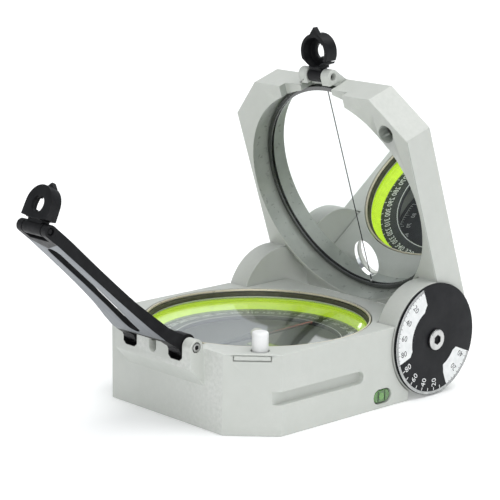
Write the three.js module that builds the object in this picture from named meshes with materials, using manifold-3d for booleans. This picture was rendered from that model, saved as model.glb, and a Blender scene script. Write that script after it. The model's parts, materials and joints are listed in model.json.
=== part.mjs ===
// Geology compass (pocket transit), built as a three.js scene graph.
// Units are millimetres, +Z is up. The origin is on the underside of the base, under the needle pivot.
// +X runs along the lid hinge, to the right; -Y is the front, where the sighting arm is hinged.
import * as THREE from 'three';
import { mergeVertices } from 'three/addons/utils/BufferGeometryUtils.js';
import Module from 'manifold-3d';

const wasm = await Module();
wasm.setup();

// ---------------------------------------------------------------- sizes
const GAP = 0.3;                 // clearance between neighbouring pieces

const BASE_HALF_W = 35.5;        // base half width
const BASE_FRONT = -35.5;        // front face
const BASE_H = 23.4;             // base height
const BASE_CHAMFER = 11.6;       // front corner chamfers
const BASE_REAR = 34.9;          // rear wall between the hinge drums
const FLOOR_T = 3.2;             // floor of the cup
const CUP_R_LOW = 32.4;          // cup radius round the azimuth ring
const CUP_R_TOP = 33.6;          // cup radius round the glass
const CUP_STEP_Z = 16.0;

const HINGE_Y = 37.2;            // lid hinge axis
const HINGE_Z = 17.1;
const DRUM_R = 16.8;             // lid hinge drums
const DRUM_IN = 28.2;            // inner face of a drum, |x|
const KNUCKLE_R = 6.3;           // base knuckle between the drums
const LID_OPEN = 71.2;           // rest opening of the lid, degrees from closed

const LID_FRONT = 6.6;           // lid front face, distance from the hinge axis
const LID_BACK = 16.8;           // lid outer face
const LID_LEN = 72.7;            // hinge axis to free edge
const LID_CHAMFER = 11.7;
const OPEN_V = 37.2;             // centre of the round opening, from the axis
const OPEN_R = 34.2;
const COLLAR_R = 35.4;
const POCKET = 15.1;             // depth of the mirror pocket
const WEB_FRONT = 12.0;          // front of the lid's web beside the collar
const WINDOW_V = 13.0;           // sight window through mirror and lid
const WINDOW_RX = 4.8;
const WINDOW_RY = 6.2;

const SIGHT_V = 75.5;            // lid sight pivot, in lid coordinates
const SIGHT_N = 11.6;
const SIGHT_ANGLE = 87.5;        // rest direction of the lid sight, degrees above the front horizon

const ARM_Y = -38.1;             // sighting arm pivot
const ARM_Z = 24.0;
const ARM_LEN = 55.8;
const ARM_TIP_U = 0.1;           // the tip pivot stands this far off the arm's hinge plane
const ARM_ANGLE = 41.2;          // rest angle above horizontal
const PEEP_ANGLE = 115.0;        // rest direction of the arm sight
const BLOCK_HALF_W = 16.4;

const PIN_X = 28.0;              // needle lift button
const PIN_Y = -25.2;

// ---------------------------------------------------------------- helpers
const rad = THREE.MathUtils.degToRad;
const M = (x = 0, y = 0, z = 0, rx = 0, ry = 0, rz = 0) =>
  new THREE.Matrix4().compose(new THREE.Vector3(x, y, z),
    new THREE.Quaternion().setFromEuler(new THREE.Euler(rx, ry, rz)), new THREE.Vector3(1, 1, 1));

function solid(geometry) {
  let g = geometry.clone();
  for (const name of Object.keys(g.attributes)) if (name !== 'position') g.deleteAttribute(name);
  g = mergeVertices(g, 1e-4);
  const p = g.attributes.position, idx = g.index.array, tri = [];
  for (let i = 0; i < idx.length; i += 3) {
    const [a, b, c] = [idx[i], idx[i + 1], idx[i + 2]];
    if (a !== b && b !== c && a !== c) tri.push(a, b, c);
  }
  let vol = 0;
  const v = (i) => new THREE.Vector3().fromBufferAttribute(p, i);
  for (let i = 0; i < tri.length; i += 3) vol += v(tri[i]).dot(v(tri[i + 1]).cross(v(tri[i + 2])));
  if (vol < 0) for (let i = 0; i < tri.length; i += 3) [tri[i], tri[i + 1]] = [tri[i + 1], tri[i]];
  return new wasm.Manifold(new wasm.Mesh({ numProp: 3, vertProperties: new Float32Array(p.array), triVerts: new Uint32Array(tri) }));
}
const place = (g, m) => solid(g.clone().applyMatrix4(m));
const box = (x0, x1, y0, y1, z0, z1) =>
  place(new THREE.BoxGeometry(x1 - x0, y1 - y0, z1 - z0), M((x0 + x1) / 2, (y0 + y1) / 2, (z0 + z1) / 2));
const cylZ = (r, z0, z1, x = 0, y = 0, seg = 32) =>
  place(new THREE.CylinderGeometry(r, r, z1 - z0, seg), M(x, y, (z0 + z1) / 2, Math.PI / 2));
const cylX = (r, x0, x1, y = 0, z = 0, seg = 32) =>
  place(new THREE.CylinderGeometry(r, r, x1 - x0, seg), M((x0 + x1) / 2, y, z, 0, 0, Math.PI / 2));
const cylY = (r, y0, y1, x = 0, z = 0, seg = 32) =>
  place(new THREE.CylinderGeometry(r, r, y1 - y0, seg), M(x, (y0 + y1) / 2, z));
// a polygon in the XY plane, raised from z0 to z1
function prismZ(points, z0, z1) {
  const s = new THREE.Shape(points.map(([a, b]) => new THREE.Vector2(a, b)));
  return place(new THREE.ExtrudeGeometry(s, { depth: z1 - z0, bevelEnabled: false }), M(0, 0, z0));
}
// a polygon in the YZ plane, drawn as [y, z], from x0 to x1
function prismX(points, x0, x1) {
  const s = new THREE.Shape(points.map(([a, b]) => new THREE.Vector2(a, b)));
  const g = new THREE.ExtrudeGeometry(s, { depth: x1 - x0, bevelEnabled: false });
  const m = new THREE.Matrix4().set(0, 0, 1, x0, 1, 0, 0, 0, 0, 1, 0, 0, 0, 0, 0, 1);
  return place(g, m);
}
// a polygon in the XZ plane, drawn as [x, z], from y0 to y1
function prismY(points, y0, y1) {
  const s = new THREE.Shape(points.map(([a, b]) => new THREE.Vector2(a, b)));
  const g = new THREE.ExtrudeGeometry(s, { depth: y1 - y0, bevelEnabled: false });
  const m = new THREE.Matrix4().set(1, 0, 0, 0, 0, 0, 1, y0, 0, 1, 0, 0, 0, 0, 0, 1);
  return place(g, m);
}
// a closed profile of [r, z] turned round the Z axis
function turn(profile, seg = 48, m = M()) {
  const pts = profile.map(([r, z]) => new THREE.Vector2(r, z));
  const closed = !(profile[0][0] === 0 && profile[profile.length - 1][0] === 0);
  if (closed) pts.push(pts[0].clone());
  const g = new THREE.LatheGeometry(pts, seg);
  g.applyMatrix4(M(0, 0, 0, Math.PI / 2));
  return place(g, m);
}
const ring = (r0, r1, z0, z1, seg = 64) => turn([[r0, z0], [r1, z0], [r1, z1], [r0, z1]], seg);
const arc = (cx, cy, r, a0, a1, n) => Array.from({ length: n + 1 }, (_, i) => {
  const a = rad(a0 + (a1 - a0) * i / n);
  return [cx + r * Math.cos(a), cy + r * Math.sin(a)];
});
const pipe = (list) => list.reduce((a, b) => a.add(b));

const COLORS = {
  body: [0xc3c9c2, 0.42, 0.55], black: [0x17181a, 0.45, 0.4], steel: [0xb9bcc0, 0.3, 0.9],
  lime: [0xb9dc1f, 0.45, 0.0], glass: [0xdfeeea, 0.05, 0.0], gold: [0xc9b988, 0.35, 0.8],
  olive: [0x34361f, 0.6, 0.0], dial: [0x1d2022, 0.6, 0.1], white: [0xf2f3f3, 0.4, 0.0],
  mirror: [0xd8dcdc, 0.03, 1.0], green: [0x2f7d1e, 0.15, 0.0], disc: [0x1b1d20, 0.5, 0.1],
  light: [0xd9ddd7, 0.45, 0.3],
};
function node(name, manifold, color, group) {
  const mesh = manifold.getMesh();
  const g = new THREE.BufferGeometry();
  const n = mesh.numProp, vp = mesh.vertProperties, pos = new Float32Array(vp.length / n * 3);
  for (let i = 0; i < vp.length / n; i++) for (let k = 0; k < 3; k++) pos[3 * i + k] = vp[n * i + k];
  g.setAttribute('position', new THREE.BufferAttribute(pos, 3));
  g.setIndex(new THREE.BufferAttribute(new Uint32Array(mesh.triVerts), 1));
  g.computeVertexNormals();
  const [c, rough, metal] = COLORS[color];
  const out = new THREE.Mesh(g, new THREE.MeshStandardMaterial({ color: c, roughness: rough, metalness: metal }));
  out.name = name;
  group.add(out);
  return out;
}

const root = new THREE.Group();
root.name = 'geology_compass';

// ---------------------------------------------------------------- base
const base = new THREE.Group();
root.add(base);

{
  const W = BASE_HALF_W, F = BASE_FRONT, C = BASE_CHAMFER, cut = 27.6, slot = DRUM_IN - GAP;
  let b = prismZ([[W, F + C], [W, cut], [slot, cut], [slot, BASE_REAR], [-slot, BASE_REAR], [-slot, cut],
    [-W, cut], [-W, F + C], [-W + C, F], [W - C, F]], 0, BASE_H);
  // rear knuckle that carries the lid's hinge screws
  b = b.add(prismX([[BASE_REAR - 2, HINGE_Z - 9], [BASE_REAR, HINGE_Z - 9], [HINGE_Y + 2.5, HINGE_Z - KNUCKLE_R + 0.6],
    [HINGE_Y + 2.5, BASE_H - 2], [HINGE_Y, BASE_H], [BASE_REAR - 2, BASE_H]], -slot, slot));
  b = b.add(cylX(KNUCKLE_R, -slot, slot, HINGE_Y, HINGE_Z, 48));
  // front hinge block
  b = b.add(prismX([[F + 1.5, 12.7], [F, 12.7], [ARM_Y - 2.3, 17.8], [ARM_Y - 2.3, ARM_Z],
    ...arc(ARM_Y, ARM_Z, 2.3, 165, 15, 10), [ARM_Y + 2.3, ARM_Z], [ARM_Y + 2.3, BASE_H], [F + 1.5, BASE_H]], -BLOCK_HALF_W, BLOCK_HALF_W));
  const cuts = [];
  // drum slots
  for (const s of [-1, 1]) {
    const x0 = s > 0 ? slot : -W - 1, x1 = s > 0 ? W + 1 : -slot;
    cuts.push(cylX(DRUM_R + 0.45, x0, x1, HINGE_Y, HINGE_Z, 72));
  }
  // cup
  cuts.push(cylZ(CUP_R_LOW, FLOOR_T, BASE_H + 1, 0, 0, 80));
  cuts.push(cylZ(CUP_R_TOP, CUP_STEP_Z, BASE_H + 1, 0, 0, 80));
  // arm leg gaps, the slot between them, and the rim notches behind them
  for (const s of [-1, 1]) {
    const [a, c] = s > 0 ? [6.9, 12.6] : [-12.6, -6.9];
    cuts.push(box(a, c, ARM_Y - 4, F - 0.15, 20.6, BASE_H + 4));
    cuts.push(prismY([[a + 1, 19.8], [c - 1, 19.8], [c, 20.7], [a, 20.7]], ARM_Y - 4, F - 0.15));
    cuts.push(box(a, c, F - 0.2, -29, 21.4, BASE_H + 4));
  }
  cuts.push(box(-1.6, 1.6, ARM_Y - 4, F - 0.4, 21.5, BASE_H + 4));
  cuts.push(cylY(1.6, ARM_Y - 4, F - 0.4, 0, 21.5, 20));
  // arm pin bore
  cuts.push(cylX(1.5, -17, 17, ARM_Y, ARM_Z, 20));
  // hinge screw bores
  cuts.push(cylX(2.3, 20, slot + 1, HINGE_Y, HINGE_Z, 24));
  cuts.push(cylX(2.3, -slot - 1, -20, HINGE_Y, HINGE_Z, 24));
  // mounting grooves in both sides
  for (const s of [-1, 1]) {
    const [a, c] = s > 0 ? [33.5, 37] : [-37, -33.5];
    cuts.push(box(a, c, -30, 6.6, 9.05, 12.75));
    cuts.push(cylX(1.85, a, c, 6.6, 10.9, 20));
  }
  // level window in the right side
  cuts.push(prismX([...arc(18.0, 3.5, 2.2, -90, 90, 8), ...arc(15.1, 3.5, 2.2, 90, 270, 8)], 31.0, 37));
  // slot at the top of the right chamfer
  {
    const g = new THREE.BoxGeometry(10.7, 2.2, 1.8);
    g.applyMatrix4(M(29.7, -29.7, 22.15, 0, 0, Math.PI / 4));
    cuts.push(solid(g));
  }
  // lift button bore, stem bore and lever slot
  cuts.push(cylZ(2.6, 18.5, BASE_H + 1, PIN_X, PIN_Y, 28));
  cuts.push(cylZ(1.6, 13, 19, PIN_X, PIN_Y, 20));
  const la = Math.atan2(PIN_Y, PIN_X);
  {
    const g = new THREE.BoxGeometry(9.4, 2.8, 3.5);
    g.applyMatrix4(M(35.0 * Math.cos(la), 35.0 * Math.sin(la), 12.35, 0, 0, la));
    cuts.push(solid(g));
  }
  // bore and head recess of the ring adjuster, in the left front chamfer
  const da = rad(225);
  for (const [r, r0, r1] of [[1.5, 31, 43], [2.7, 39.2, 44]]) {
    const g = new THREE.CylinderGeometry(r, r, r1 - r0, 24);
    g.applyMatrix4(M(0, 0, 0, 0, 0, Math.PI / 2));
    g.applyMatrix4(M((r0 + r1) / 2 * Math.cos(da), (r0 + r1) / 2 * Math.sin(da), 12.5, 0, 0, da));
    cuts.push(solid(g));
  }
  // underside recess of the clinometer lever, round a fixed boss, and the arc slot through the floor
  cuts.push(ring(4.0, 12.0, -1, 1.8, 48));
  cuts.push(prismZ([...arc(0, 0, 9.9, -185, 5, 24), ...arc(0, 0, 7.1, 5, -185, 24)], 1, 4));
  b = b.subtract(pipe(cuts));
  // boss in the middle of the cup, which the clinometer turns on and the pivot stands in
  b = b.add(cylZ(3.4, 2.5, 5.4, 0, 0, 28)).subtract(cylZ(1.3, 1.6, 6, 0, 0, 20));
  node('base_case', b, 'body', base);
}

node('lume_ring', turn([[30.4, 16.3], [33.3, 16.3], [33.3, 19.2], [32.6, 19.2]], 80), 'lime', base);
node('cover_glass', cylZ(33.2, 19.5, 20.9, 0, 0, 72), 'glass', base);
node('glass_gasket', ring(32.1, 33.3, 21.2, 22.4, 80), 'olive', base);
node('bezel_ring', ring(32.3, 33.3, 22.7, 23.2, 80), 'gold', base);
node('dial_plate', ring(10.2, 31.9, 3.5, 4.3, 64), 'dial', base);
node('needle_pivot', turn([[0, 2.0], [1.0, 2.0], [1.0, 14.6], [0.15, 16.6], [0, 16.6]], 16), 'steel', base);
node('side_level_vial', prismX([...arc(18.0, 3.5, 1.9, -90, 90, 8), ...arc(15.1, 3.5, 1.9, 90, 270, 8)], 31.4, 35.1), 'green', base);
{
  const g = new THREE.BoxGeometry(10.1, 0.7, 1.2);
  g.applyMatrix4(M(29.7 - 0.42, -29.7 + 0.42, 22.15, 0, 0, Math.PI / 4));
  node('chamfer_slot_bar', solid(g), 'light', base);
}
for (const [name, s] of [['hinge_screw_right', 1], ['hinge_screw_left', -1]]) {
  const out = s > 0 ? 36.95 : 35.8;
  const p = [[0, 20.6], [2.0, 20.6], [2.0, out], [3.1, out], [3.1, out + 0.5], [2.9, out + 0.7], [0, out + 0.7]];
  let h = turn(p, 28, M(0, HINGE_Y, HINGE_Z, 0, s * Math.PI / 2));
  const hex = new THREE.CylinderGeometry(1.45, 1.45, 2, 6);
  hex.applyMatrix4(M(s * (out + 0.7), HINGE_Y, HINGE_Z, 0, 0, Math.PI / 2));
  h = h.subtract(solid(hex));
  node(name, h, 'steel', base);
}
{
  let p = cylX(1.2, -16.2, 16.3, ARM_Y, ARM_Z, 20);
  const hex = new THREE.CylinderGeometry(0.65, 0.65, 1.6, 6);
  hex.applyMatrix4(M(16.3, ARM_Y, ARM_Z, 0, 0, Math.PI / 2));
  p = p.subtract(solid(hex));
  node('arm_hinge_pin', p, 'steel', base);
}
// bracket and pin of the needle lift lever
const LIFT_A = Math.atan2(PIN_Y, PIN_X), LIFT_R = 22;
const liftM = (x, y, z) => M(0, 0, 0, 0, 0, LIFT_A).multiply(M(x, y, z));
{
  const part = (x0, x1, y0, y1, z0, z1) => {
    const g = new THREE.BoxGeometry(x1 - x0, y1 - y0, z1 - z0);
    g.applyMatrix4(liftM((x0 + x1) / 2, (y0 + y1) / 2, (z0 + z1) / 2));
    return solid(g);
  };
  const bore = new THREE.CylinderGeometry(0.75, 0.75, 8, 16);
  bore.applyMatrix4(liftM(LIFT_R, 0, 13.0));
  node('lift_bracket', part(20.6, 23.4, -2.5, 2.5, 4.6, 5.4).add(part(20.9, 23.1, -2.5, -1.3, 5.3, 14.0))
    .add(part(20.9, 23.1, 1.3, 2.5, 5.3, 14.0)).subtract(solid(bore)), 'steel', base);
  const pin = new THREE.CylinderGeometry(0.45, 0.45, 4.8, 12);
  pin.applyMatrix4(liftM(LIFT_R, 0, 13.0));
  node('lift_lever_pin', solid(pin), 'steel', base);
}
// return spring of the lift button
{
  class Coil extends THREE.Curve {
    getPoint(t, out = new THREE.Vector3()) {
      const a = t * Math.PI * 2 * 3, r = 2.0;
      return out.set(PIN_X + r * Math.cos(a), PIN_Y + r * Math.sin(a), 18.85 + 1.25 * t);
    }
  }
  const sec = new THREE.Shape(arc(0, 0, 0.16, 0, 300, 5).map(([a, b]) => new THREE.Vector2(a, b)));
  node('lift_spring', solid(new THREE.ExtrudeGeometry(sec, { steps: 42, extrudePath: new Coil(), bevelEnabled: false })), 'steel', base);
}

// ---------------------------------------------------------------- pieces that move inside the base
node('lift_button', turn([[0, 13.75], [1.3, 13.75], [1.3, 20.5], [2.3, 20.5], [2.3, 27.9], [1.9, 28.5], [1.3, 28.75], [0, 28.8]], 28,
  M(PIN_X, PIN_Y, 0)), 'white', base);
{
  const g = new THREE.BoxGeometry(35.6, 1.8, 0.8);
  g.applyMatrix4(liftM(2.6 + 17.8, 0, 13.0));
  let l = solid(g).add(turn([[1.7, 12.6], [3.3, 12.6], [3.3, 13.4], [1.7, 13.4]], 24));
  const eye = new THREE.CylinderGeometry(1.2, 1.2, 1.8, 16);
  eye.applyMatrix4(liftM(LIFT_R, 0, 13.0));
  l = l.add(solid(eye));
  const bore = new THREE.CylinderGeometry(0.75, 0.75, 4, 16);
  bore.applyMatrix4(liftM(LIFT_R, 0, 13.0));
  node('lift_lever', l.subtract(solid(bore)), 'steel', base);
}
{
  let n = prismZ([[0, 22.8], [-0.5, 21.6], [-1.7, 3], [-1.7, -3], [-0.5, -21.6], [0, -22.8], [0.5, -21.6], [1.7, -3], [1.7, 3], [0.5, 21.6]], 16.1, 16.6);
  n = n.add(cylZ(3.0, 16.1, 16.6, 0, 0, 24)).subtract(cylZ(2.3, 15, 18, 0, 0, 24));
  node('needle_bar', n, 'white', base);
  node('needle_cap', turn([[1.35, 15.5], [2.0, 15.5], [2.0, 17.4], [1.2, 18.2], [0, 18.2], [0, 17.2], [1.0, 17.2], [1.35, 16.9]], 24), 'gold', base);
}
{
  let r = ring(24.4, 31.9, 14.6, 15.8, 80);
  node('azimuth_ring', r, 'dial', base);
}
{
  // pinion and screw that turn the azimuth ring
  const teeth = [];
  for (let i = 0; i < 12; i++) for (const [d, q] of [[0, 1.35], [7, 1.35], [11, 1.75], [19, 1.75], [23, 1.35]]) {
    const a = rad(i * 30 + d);
    teeth.push([q * Math.cos(a), q * Math.sin(a)]);
  }
  const s = new THREE.Shape(teeth.map(([a, b]) => new THREE.Vector2(a, b)));
  const g = new THREE.ExtrudeGeometry(s, { depth: 4.6, bevelEnabled: false });
  const toAxis = M(0, 0, 12.5, 0, 0, rad(225)).multiply(M(0, 0, 0, 0, Math.PI / 2));
  g.applyMatrix4(toAxis.clone().multiply(M(0, 0, 26.4)));
  let p = solid(g).add(turn([[0, 30.5], [1.15, 30.5], [1.15, 39.5], [2.3, 39.5], [2.3, 41.3], [2.0, 41.6], [0, 41.6]], 24, toAxis));
  const slot = new THREE.BoxGeometry(0.8, 6, 1.8);
  slot.applyMatrix4(toAxis.clone().multiply(M(0, 0, 41.9)));
  node('ring_adjuster', p.subtract(solid(slot)), 'steel', base);
}
// clinometer: vane with both levels, drive pin and the lever under the case
{
  let v = cylZ(10.9, 4.6, 5.4, 0, 0, 40);
  v = v.add(prismZ([[-2.2, 8], [2.2, 8], [1.6, 21], [4.4, 23.5], [3.6, 25.2], [0, 25.8], [-3.6, 25.2], [-4.4, 23.5], [-1.6, 21]], 4.6, 5.4));
  v = v.add(box(-11.2, 11.2, 9.5, 14.8, 4.6, 5.4)).add(cylZ(7.0, 4.6, 5.4, 0, -12.3, 32));
  v = v.subtract(cylZ(3.7, 4, 6, 0, 0, 28));
  node('clinometer_vane', v, 'steel', base);
  node('clinometer_drive_pin', cylZ(1.0, 1.75, 4.35, 0, -8.5, 16), 'steel', base);
  let l = cylZ(6.6, 0.4, 1.5, 0, 0, 32).add(box(-2.6, 2.6, -11.2, 0, 0.4, 1.5)).subtract(cylZ(4.3, 0, 2, 0, 0, 32));
  l = l.subtract(box(-1.6, 1.6, -10.6, -9.9, 0, 0.9));
  node('clinometer_lever', l, 'black', base);
  node('bulls_eye_cup', turn([[0, 5.7], [6.4, 5.7], [6.4, 9.8], [5.8, 9.8], [5.8, 6.5], [0, 6.5]], 36, M(0, -12.3, 0)), 'gold', base);
  node('bulls_eye_vial', turn([[0, 6.8], [5.5, 6.8], [5.5, 9.4], [4.6, 9.9], [3.0, 10.2], [0, 10.35]], 36, M(0, -12.3, 0)), 'lime', base);
  let cap = cylX(2.2, -9.4, 9.4, 12.0, 8.05, 20);
  node('tube_level_vial', cap, 'lime', base);
  for (const [name, s] of [['tube_level_clip_left', -1], ['tube_level_clip_right', 1]]) {
    const a = s > 0 ? 9.7 : -10.9, c = s > 0 ? 10.9 : -9.7;
    node(name, prismX([[9.8, 5.7], [14.2, 5.7], [14.2, 8.6], ...arc(12, 8.3, 2.3, 0, 180, 8), [9.8, 8.6]].map(([y, z]) => [y, z]), a, c), 'steel', base);
  }
}

// ---------------------------------------------------------------- sight pieces, shared by the arm and the lid
// stands along +Z from its pivot; the thin plate is at y = plate, the rim reaches to the other side
function sight(left, right, plateFront, hook) {
  const R = hook ? 5.4 : 5.35, C = hook ? 7.0 : 6.15, T = 2.2, neck = hook ? 2.1 : 3.1;
  const outline = hook
    ? [[neck, 0.6], [neck, 3.0], [4.3, 3.7], [4.6, 4.3], [2.9, 4.1], [3.1, 4.8], ...arc(0, C, R, -27, 205, 28), [-neck, 2.9], [-neck, 0.6]]
    : [[neck, 0.6], [neck, 2.4], [5.5, 2.6], ...arc(0, C, R, 0, 180, 20), [-5.5, 2.6], [-neck, 2.4], [-neck, 0.6]];
  let s = prismY(outline, -T, plateFront ? 1.4 : T);
  const lo = plateFront ? -T + 1.1 : -T - 1, hi = plateFront ? T + 1 : T - 1.1;
  s = s.subtract(cylY(4.3, lo, hi, 0, C, 32));
  // pointed fin on the open side of the rim
  const tip = plateFront ? C + R + 1.3 : C + R + 2.0;
  s = s.add(prismY([[-1.6, C + 4.7], [1.6, C + 4.7], [1.6, C + 5.26], [0, tip], [-1.6, C + 5.26]], plateFront ? 0 : -T, plateFront ? 1.4 : T - 2.6));
  // the neck is thinner than the rim
  s = s.subtract(box(-6, 6, 1.3, 4, -1, 2.2)).subtract(box(-6, 6, -4, -1.3, -1, 2.2));
  // peep hole with a tooth above and below
  let hole = cylY(2.4, -4, 4, 0, C, 28);
  hole = hole.subtract(prismY([[-0.9, C + 2.6], [0.9, C + 2.6], [0, C + 1.5]], -4, 4)).subtract(prismY([[-0.9, C - 2.6], [0, C - 1.5], [0.9, C - 2.6]], -4, 4));
  s = s.subtract(hole);
  s = s.add(cylX(hook ? 2.0 : 1.8, left, right, 0, 0, 28));
  return s.subtract(cylX(1.05, left - 1, right + 1, 0, 0, 20));
}

// ---------------------------------------------------------------- sighting arm
const arm = new THREE.Group();
arm.position.set(0, ARM_Y, ARM_Z);
arm.rotation.x = -rad(ARM_ANGLE);
root.add(arm);
{
  const L = ARM_LEN;
  // side profile as [y, z], the arm points along -Y
  const side = [...arc(0, 0, 2.6, 60, -60, 8), [-7, -3.1], [-12, -3.0], [-20, -2.5], [-30, -2.1], [-42, -1.8], [-(L - 4), -1.6],
    ...arc(-L, ARM_TIP_U, 1.8, -90, -270, 12), [-(L - 8), 1.8], [-42, 1.5], [-30, 0.95], [-20, 0.5], [-8, 0.4]];
  let a = prismX(side, -13, 13);
  // half widths along the arm as [s, w]: the flanges draw in towards the tip
  const half = [[9, 11.2], [12, 10.4], [16, 9.3], [20, 8.45], [25, 7.75], [30, 7.3], [36, 6.95], [42, 6.75], [L + 4, 6.35]];
  const plan = (t, s0, s1, lead) => {
    const q = half.filter(([k]) => k < s1).map(([k, v]) => [v - t, -k]);
    const last = half.findIndex(([k]) => k >= s1), [k0, v0] = half[last - 1], [k1, v1] = half[last];
    q.push([v0 + (v1 - v0) * (s1 - k0) / (k1 - k0) - t, -s1]);
    const r = [...lead, ...q];
    return [...r, ...r.map(([x, y]) => [-x, y]).reverse()];
  };
  a = a.intersect(prismZ(plan(0, 9, L + 4, [[12.3, 4], [12.3, -4.5]]), -8, 8));
  // channel between the flanges, open on the upper side
  const ch = prismX([[-4, -1.4], [-9, -1.55], [-20, -1.0], [-30, -0.6], [-(L - 7), -0.25], [-(L - 7), 5], [-4, 5]], -13, 13)
    .intersect(prismZ(plan(1.2, 9, L - 6, [[10.4, -3]]), -8, 8));
  a = a.subtract(ch);
  // room for the block's middle knuckle, between the legs
  a = a.subtract(box(-7.2, 7.2, -4.4, 6, -8, 8));
  // long slot through the web
  a = a.subtract(box(-2.4, 2.4, -(L - 10), -10, -8, 8)).subtract(cylZ(2.4, -8, 8, 0, -10, 20)).subtract(cylZ(2.4, -8, 8, 0, -(L - 10), 20));
  // fork for the sight at the tip
  a = a.subtract(box(-4.2, 4.2, -(L + 5), -(L - 3.0), -8, 8));
  // barrels of the two legs, round the hinge pin
  for (const s of [-1, 1]) a = a.add(cylX(3.1, s > 0 ? 7.2 : -12.3, s > 0 ? 12.3 : -7.2, 0, 0, 32));
  a = a.subtract(cylX(1.5, -14, 14, 0, 0, 20)).subtract(cylX(1.05, -14, 14, -L, ARM_TIP_U, 16));
  node('sight_arm', a, 'black', arm);
  node('arm_sight_pin', cylX(0.75, -6.1, 6.1, -L, ARM_TIP_U, 16), 'steel', arm);
}
const armSight = new THREE.Group();
armSight.position.set(0, -ARM_LEN, ARM_TIP_U);
armSight.rotation.x = rad(ARM_ANGLE) + rad(90 - PEEP_ANGLE);
arm.add(armSight);
node('arm_sight', sight(-3.9, 3.9, true, false), 'black', armSight);

// ---------------------------------------------------------------- lid
// Lid coordinates: the hinge axis is the origin and the lid is drawn closed, with its free edge towards -Y.
const lid = new THREE.Group();
lid.position.set(0, HINGE_Y, HINGE_Z);
lid.rotation.x = -rad(LID_OPEN);
root.add(lid);
{
  const W = BASE_HALF_W, C = LID_CHAMFER, L = LID_LEN;
  let f = prismZ([[W, 0], [W, -(L - C)], [W - C, -L], [-(W - C), -L], [-W, -(L - C)], [-W, 0]], LID_FRONT, LID_BACK);
  f = f.add(box(-DRUM_IN, DRUM_IN, -1, 1.5, WEB_FRONT, LID_BACK));
  // sight lugs on the free edge
  for (const s of [-1, 1]) {
    const [a, c] = s > 0 ? [2.6, 6.0] : [-6.6, -3.4];
    f = f.add(prismX([[-(L - 2), 9.5], [-SIGHT_V, SIGHT_N - 2.2], ...arc(-SIGHT_V, SIGHT_N, 2.2, 250, 120, 9), [-(L + 0.2), LID_BACK - 0.4], [-L, LID_BACK], [-(L - 2), LID_BACK]], a, c));
  }
  const cuts = [];
  // recess beside the collar, between the drums
  cuts.push(box(-DRUM_IN, DRUM_IN, -16.2, 3, LID_FRONT - 1, WEB_FRONT).subtract(cylZ(COLLAR_R, 0, 20, 0, -OPEN_V, 96)));
  // mirror pocket
  cuts.push(cylZ(OPEN_R, LID_FRONT - 1, POCKET, 0, -OPEN_V, 96));
  // recess for the folded arm, and the neck slot between the lugs
  cuts.push(box(-13, 13, -(L + 1), -64, LID_FRONT - 1, 9.1));
  cuts.push(box(-3.4, 2.6, -(L + 1), -66, LID_FRONT - 1, 13.2));
  // room for the sight folded inwards, behind the lugs
  cuts.push(box(-6.3, 6.3, -73.3, -60, 8.9, 13.9));
  // blind hole that takes the lift button when the lid is shut
  cuts.push(cylZ(2.7, LID_FRONT - 1, 11.1, 27.7, -62.3, 28));
  // sight window
  cuts.push(prismZ(Array.from({ length: 36 }, (_, i) => [WINDOW_RX * Math.cos(rad(i * 10)), -WINDOW_V + WINDOW_RY * Math.sin(rad(i * 10))]), 10, 18));
  // lid sight pin bore
  cuts.push(cylX(1.05, -8, 8, -SIGHT_V, SIGHT_N, 16));
  f = f.subtract(pipe(cuts));
  // hinge drums
  for (const s of [-1, 1]) {
    const [a, c] = s > 0 ? [DRUM_IN, W] : [-W, -DRUM_IN];
    f = f.add(cylX(DRUM_R, a, c, 0, 0, 72));
  }
  f = f.subtract(cylX(2.3, -W - 1, W + 1, 0, 0, 24));
  node('lid_frame', f, 'body', lid);
  const win = (z0, z1) => prismZ(Array.from({ length: 36 }, (_, i) => [WINDOW_RX * Math.cos(rad(i * 10)), -WINDOW_V + WINDOW_RY * Math.sin(rad(i * 10))]), z0, z1);
  node('mirror', cylZ(33.9, 13.6, 14.8, 0, -OPEN_V, 80).subtract(win(13, 16)), 'mirror', lid);
  let mr = turn([[32.5, 12.9], [33.9, 12.9], [33.9, 13.3], [32.5, 13.3]], 80, M(0, -OPEN_V, 0));
  node('mirror_ring', mr, 'black', lid);
  node('striker_pad', cylZ(2.4, 10.0, 10.8, 27.7, -62.3, 24), 'black', lid);
  node('protractor_disc', turn([[2.3, 35.8], [16.75, 35.8], [16.75, 36.45], [16.5, 36.65], [2.3, 36.65]], 72, M(0, 0, 0, 0, Math.PI / 2)), 'disc', lid);
  node('lid_sight_pin', cylX(0.75, -6.4, 4.6, -SIGHT_V, SIGHT_N, 16), 'steel', lid);
}
const lidSight = new THREE.Group();
lidSight.position.set(0, -SIGHT_V, SIGHT_N);
lidSight.rotation.x = rad(LID_OPEN) + rad(90 - SIGHT_ANGLE);
lid.add(lidSight);
node('lid_sight', sight(-3.1, 2.3, false, true), 'black', lidSight);

export default root;
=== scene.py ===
import json
import math

import bmesh
import bpy
from mathutils import Matrix, Vector
from mathutils.bvhtree import BVHTree

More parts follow.
